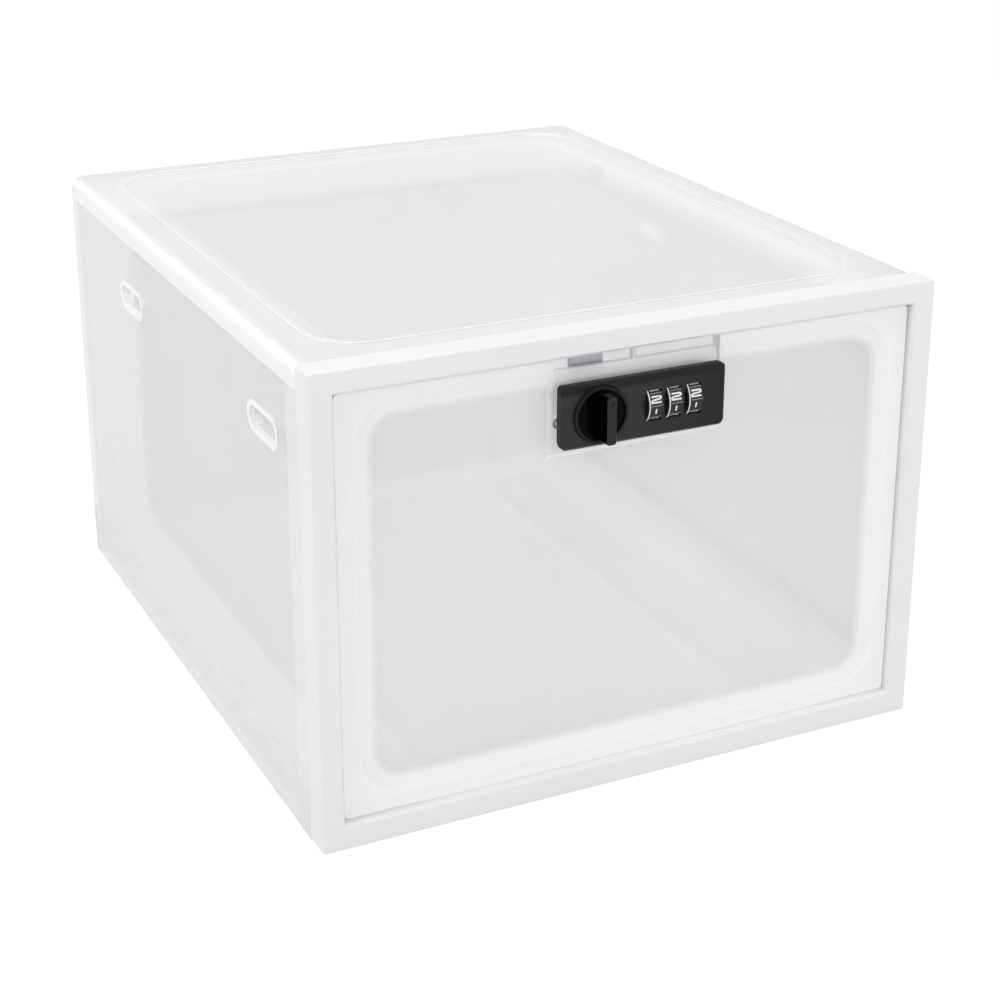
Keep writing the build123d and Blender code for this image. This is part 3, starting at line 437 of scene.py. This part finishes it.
# Each digit as strokes on a field from -1 to 1 each way
digit_strokes = {
    0: [[(-0.7, 1), (0.7, 1), (1, 0.7), (1, -0.7), (0.7, -1), (-0.7, -1), (-1, -0.7), (-1, 0.7),
         (-0.7, 1)]],
    1: [[(0, 1), (0, -1)]],
    2: [[(-1, 1), (0.75, 1), (1, 0.8), (1, 0.4), (0.7, 0.1), (-0.7, -0.15), (-1, -0.45), (-1, -1),
         (1, -1)]],
    3: [[(-1, 1), (0.7, 1), (1, 0.7), (1, 0.3), (0.7, 0), (-0.3, 0)],
        [(0.7, 0), (1, -0.3), (1, -0.7), (0.7, -1), (-1, -1)]],
    4: [[(0.5, -1), (0.5, 1), (-1, -0.35), (1, -0.35)]],
    5: [[(1, 1), (-1, 1), (-1, 0.1), (0.7, 0.1), (1, -0.2), (1, -0.7), (0.7, -1), (-1, -1)]],
    6: [[(0.9, 1), (-0.5, 1), (-1, 0.6), (-1, -0.7), (-0.7, -1), (0.7, -1), (1, -0.7), (1, -0.2),
         (0.7, 0.1), (-1, 0.1)]],
    7: [[(-1, 1), (1, 1), (1, 0.7), (-0.2, -1)]],
    8: [[(-0.7, 1), (0.7, 1), (1, 0.7), (1, 0.3), (0.7, 0), (1, -0.3), (1, -0.7), (0.7, -1),
         (-0.7, -1), (-1, -0.7), (-1, -0.3), (-0.7, 0), (-1, 0.3), (-1, 0.7), (-0.7, 1)],
        [(-0.7, 0), (0.7, 0)]],
    9: [[(-0.9, -1), (0.5, -1), (1, -0.6), (1, 0.7), (0.7, 1), (-0.7, 1), (-1, 0.7), (-1, 0.2),
         (-0.7, -0.1), (1, -0.1)]],
}


def stroke_band(path, width):
    """The two sides of a stroke with mitred corners: one pair of points for each point of its path."""
    spots = [Vector(spot) for spot in path]
    runs = [(end - start).normalized() for start, end in zip(spots, spots[1:])]
    closed = path[0] == path[-1]
    sides = []
    for i, spot in enumerate(spots):
        before = runs[i - 1] if i > 0 or closed else runs[0]
        if i < len(runs):
            after = runs[i]
        else:
            after = runs[0] if closed else runs[-1]
        mitre = Vector((-before.y - after.y, before.x + after.x)).normalized()
        reach = width / 2 / max(sharpest_mitre, mitre.dot(Vector((-before.y, before.x))))
        sides.append((spot + mitre * reach, spot - mitre * reach))
    return sides


def on_wheel(middle_x, angle, along, up, out):
    """A point on a wheel's side: the angle is above the front's horizontal, in radians."""
    y = wheel_axis_y - math.cos(angle) * out + math.sin(angle) * up
    z = wheel_axis_z + math.sin(angle) * out + math.cos(angle) * up
    return (middle_x + along, y, z)


def mesh_piece(name, points, faces, material, body):
    """A piece from its points and faces, riding on one body."""
    mesh = bpy.data.meshes.new(name)
    mesh.from_pydata(points, [], faces)
    mesh.materials.append(material)
    mesh.update()
    piece = bpy.data.objects.new(name, mesh)
    bpy.context.scene.collection.objects.link(piece)
    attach(piece, body)
    return piece


for number, wheel_x in enumerate(wheel_middle_xs, start=1):
    body = f"wheel_{number}"
    dress(f"number_wheel_{number}", wheel_black)
    points, faces = [], []
    middle_x = wheel_x + rim_width / 2
    half_across = (digit_width - digit_stroke) / 2
    half_up = (digit_height - digit_stroke) / 2
    for digit in range(wheel_sides):
        angle = math.radians(-wheel_rest_angle + (digit - 1) * 360 / wheel_sides)
        for stroke in digit_strokes[digit]:
            path = [(u * half_across, v * half_up) for u, v in stroke]
            sides = stroke_band(path, digit_stroke)
            first = len(points)
            for one, other in sides:
                for along, up in (one, other):
                    points.append(on_wheel(middle_x, angle, along, up, side_distance + digit_proud))
            for i in range(len(sides) - 1):
                a = first + 2 * i
                faces.append((a, a + 1, a + 3, a + 2))
    mesh_piece(f"wheel_{number}_digits", points, faces, digit_and_highlight_white, body)
    # Painted highlight: a grey line on the ridge between each two sides
    points, faces = [], []
    for side in range(wheel_sides):
        angle = math.radians(-wheel_rest_angle + (side + 0.5) * 360 / wheel_sides)
        first = len(points)
        for along in (-wheel_width / 2 + rim_width + ridge_from_line, wheel_width / 2 - ridge_from_edge):
            for up in (-ridge_half_width, ridge_half_width):
                points.append(on_wheel(wheel_x, angle, along, up, corner_distance + ridge_proud))
        faces.append((first, first + 2, first + 3, first + 1))
    mesh_piece(f"wheel_{number}_ridges", points, faces, ridge_highlight_grey, body)
    # Painted highlight: a white line round the left-hand edge
    points, faces = [], []
    line_left = -wheel_width / 2 + line_from_edge
    for step in range(line_steps):
        angle = 2 * math.pi * step / line_steps
        points.append(on_wheel(wheel_x, angle, line_left, 0, rim_distance + line_proud))
        points.append(on_wheel(wheel_x, angle, line_left + line_width, 0, rim_distance + line_proud))
        a, b = 2 * step, 2 * ((step + 1) % line_steps)
        faces.append((a, a + 1, b + 1, b))
    mesh_piece(f"wheel_{number}_edge_highlight", points, faces, digit_and_highlight_white, body)

# Inside the lock: the pin and code sleeves of the wheels, the leaf that clicks them, the bar that the
# knob pushes with its spring, and the button for a new code. Only the button shows, at the back.
drawn_line_scale = 250.0
drawn_line_strength = 0.1
drawn_line_depth = 0.00005
sleeve_plastic = solid_plastic("sleeve_plastic", light=(0.68, 0.68, 0.66), shade=(0.6, 0.6, 0.58),
                               dull_from=0.4, dull_to=0.55, grain=400.0, grain_strength=0.1)
button_plastic = solid_plastic("button_plastic", light=(0.55, 0.55, 0.55), shade=(0.48, 0.48, 0.48),
                               dull_from=0.35, dull_to=0.5, grain=400.0, grain_strength=0.1)


def bare_metal(name, light, shade, dull_from, dull_to, stretch):
    """Plated or drawn metal: fine lines one way, with slow changes of tone."""
    material = bpy.data.materials.new(name)
    material.use_nodes = True
    tree = material.node_tree
    shader = tree.nodes["Principled BSDF"]
    shader.inputs["Metallic"].default_value = 1.0
    place = tree.nodes.new("ShaderNodeTexCoord")
    turn = tree.nodes.new("ShaderNodeMapping")
    turn.inputs["Scale"].default_value = stretch
    lines = tree.nodes.new("ShaderNodeTexNoise")
    lines.inputs["Scale"].default_value = drawn_line_scale
    lines.inputs["Detail"].default_value = 4.0
    colour = tree.nodes.new("ShaderNodeValToRGB")
    colour.color_ramp.elements[0].color = (*shade, 1)
    colour.color_ramp.elements[1].color = (*light, 1)
    dull = tree.nodes.new("ShaderNodeMapRange")
    dull.inputs["To Min"].default_value = dull_from
    dull.inputs["To Max"].default_value = dull_to
    bump = tree.nodes.new("ShaderNodeBump")
    bump.inputs["Strength"].default_value = drawn_line_strength
    bump.inputs["Distance"].default_value = drawn_line_depth
    tree.links.new(place.outputs["Object"], turn.inputs["Vector"])
    tree.links.new(turn.outputs["Vector"], lines.inputs["Vector"])
    tree.links.new(lines.outputs["Fac"], colour.inputs["Fac"])
    tree.links.new(colour.outputs["Color"], shader.inputs["Base Color"])
    tree.links.new(lines.outputs["Fac"], dull.inputs["Value"])
    tree.links.new(dull.outputs["Result"], shader.inputs["Roughness"])
    tree.links.new(lines.outputs["Fac"], bump.inputs["Height"])
    tree.links.new(bump.outputs["Normal"], shader.inputs["Normal"])
    return material


zinc_plate = bare_metal("zinc_plate", light=(0.5, 0.485, 0.52), shade=(0.41, 0.4, 0.43),
                        dull_from=0.3, dull_to=0.44, stretch=(1.0, 1.0, 0.12))
plain_steel = bare_metal("plain_steel", light=(0.6, 0.6, 0.62), shade=(0.46, 0.46, 0.48),
                         dull_from=0.25, dull_to=0.4, stretch=(0.2, 1.0, 1.0))
for number in (1, 2, 3):
    dress(f"code_sleeve_{number}", sleeve_plastic)
for name in ("wheel_axle", "detent_spring", "bar_spring", "reset_spring"):
    dress(name, plain_steel)
dress("locking_bar", zinc_plate)
dress("reset_button", button_plastic)
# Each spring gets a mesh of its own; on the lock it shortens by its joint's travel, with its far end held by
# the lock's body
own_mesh(nodes["bar_spring"])
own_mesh(nodes["reset_spring"])

# Spindle, cam, washer and screw: the cam is a stamped, zinc-plated plate on the spindle's square end,
# held by a washer and a screw. It stands up behind the bezel's top rail while the box is locked.
for name in ("spindle", "lock_cam", "cam_washer"):
    dress(name, zinc_plate)
for name in ("cam_screw", "cover_screws", "mounting_screws"):
    dress(name, plain_steel)

# Floor: a plain white studio sweep. It takes the box's shadow, and what the camera sees of it is
# lifted to the white of the background.
floor_half = 3.0
floor_grey = 0.82
floor_glow = 1.15
floor_glow_share = 0.76
floor_mesh = bpy.data.meshes.new("studio_floor")
floor_corners = [(-floor_half, -floor_half, 0), (floor_half, -floor_half, 0),
                 (floor_half, floor_half, 0), (-floor_half, floor_half, 0)]
floor_mesh.from_pydata(floor_corners, [], [(0, 1, 2, 3)])
floor = bpy.data.objects.new("studio_floor", floor_mesh)
bpy.context.scene.collection.objects.link(floor)
floor_paint = bpy.data.materials.new("studio_floor_paint")
floor_paint.use_nodes = True
floor_tree = floor_paint.node_tree
floor_shader = floor_tree.nodes["Principled BSDF"]
floor_shader.inputs["Base Color"].default_value = (floor_grey, floor_grey, floor_grey, 1)
floor_shader.inputs["Roughness"].default_value = 0.9
floor_shader.inputs["Specular IOR Level"].default_value = 0.0
floor_path = floor_tree.nodes.new("ShaderNodeLightPath")
floor_lift = floor_tree.nodes.new("ShaderNodeEmission")
floor_mix = floor_tree.nodes.new("ShaderNodeMixShader")
floor_out = floor_tree.nodes["Material Output"]


def seen_directly(tree, path):
    """1 for what the camera, a reflection or a view through glass sees, 0 for light that bounces."""
    seen = worked_out(tree, "MAXIMUM", path.outputs["Is Camera Ray"], path.outputs["Is Glossy Ray"])
    return worked_out(tree, "MAXIMUM", seen, path.outputs["Is Transmission Ray"])


floor_lift.inputs["Strength"].default_value = floor_glow
floor_share = worked_out(floor_tree, "MULTIPLY", seen_directly(floor_tree, floor_path), floor_glow_share)
floor_tree.links.new(floor_share, floor_mix.inputs["Fac"])
floor_tree.links.new(floor_shader.outputs["BSDF"], floor_mix.inputs[1])
floor_tree.links.new(floor_lift.outputs["Emission"], floor_mix.inputs[2])
floor_tree.links.new(floor_mix.outputs["Shader"], floor_out.inputs["Surface"])
floor_mesh.materials.append(floor_paint)

# World: even white light all round, weaker than the lamps.
# What the camera and the reflections see of it is plain white, as in a light tent.
world_strength = 0.58
white_strength = 1.0
world = bpy.data.worlds.new("studio_world")
bpy.context.scene.world = world
world.use_nodes = True
world_tree = world.node_tree
world_back = world_tree.nodes["Background"]
world_back.inputs["Strength"].default_value = world_strength
world_white = world_tree.nodes.new("ShaderNodeBackground")
world_white.inputs["Strength"].default_value = white_strength
world_back.inputs["Color"].default_value = (1, 1, 1, 1)
world_white.inputs["Color"].default_value = (1, 1, 1, 1)
world_path = world_tree.nodes.new("ShaderNodeLightPath")
world_mix = world_tree.nodes.new("ShaderNodeMixShader")
world_tree.links.new(seen_directly(world_tree, world_path), world_mix.inputs["Fac"])
world_tree.links.new(world_back.outputs["Background"], world_mix.inputs[1])
world_tree.links.new(world_white.outputs["Background"], world_mix.inputs[2])
world_tree.links.new(world_mix.outputs["Shader"], world_tree.nodes["World Output"].inputs["Surface"])

# Lamps: three square soft boxes, all turned to the middle of the box.
# A large one hangs overhead, one stands at the front right and one at the left.
lamp_aim = (0, 0, 0.1)


def soft_box(name, place, size, power):
    """A square soft box of a size in metres and a power in watts."""
    lamp = bpy.data.lights.new(name, "AREA")
    lamp.shape = "SQUARE"
    lamp.size = size
    lamp.energy = power
    box = bpy.data.objects.new(name, lamp)
    box.location = place
    box.rotation_euler = (Vector(lamp_aim) - Vector(place)).to_track_quat("-Z", "Y").to_euler()
    bpy.context.scene.collection.objects.link(box)


soft_box("overhead_box", place=(0.0, 0.2, 1.6), size=1.6, power=9.0)
soft_box("front_box", place=(0.5, -1.5, 0.7), size=1.2, power=6.0)
soft_box("left_box", place=(-1.5, -0.3, 0.8), size=1.0, power=6.5)

# Camera: at the left of the front and above the box, with a long lens and a small shift,
# at the photograph's viewing angle.
camera_data = bpy.data.cameras.new("product_camera")
camera_data.sensor_width = 36.0
camera_data.lens = 74.7
camera_data.shift_y = -0.1
camera = bpy.data.objects.new("product_camera", camera_data)
camera.location = (-0.385, -0.841, 0.451)
camera_yaw = math.radians(25.66)
camera_pitch = math.radians(19.97)
camera.rotation_euler = (math.pi / 2 - camera_pitch, 0, -camera_yaw)
bpy.context.scene.collection.objects.link(camera)
bpy.context.scene.camera = camera

bpy.context.scene.view_settings.view_transform = "Standard"
# Light has to pass many thin walls, one behind the other
bpy.context.scene.cycles.transparent_max_bounces = 48
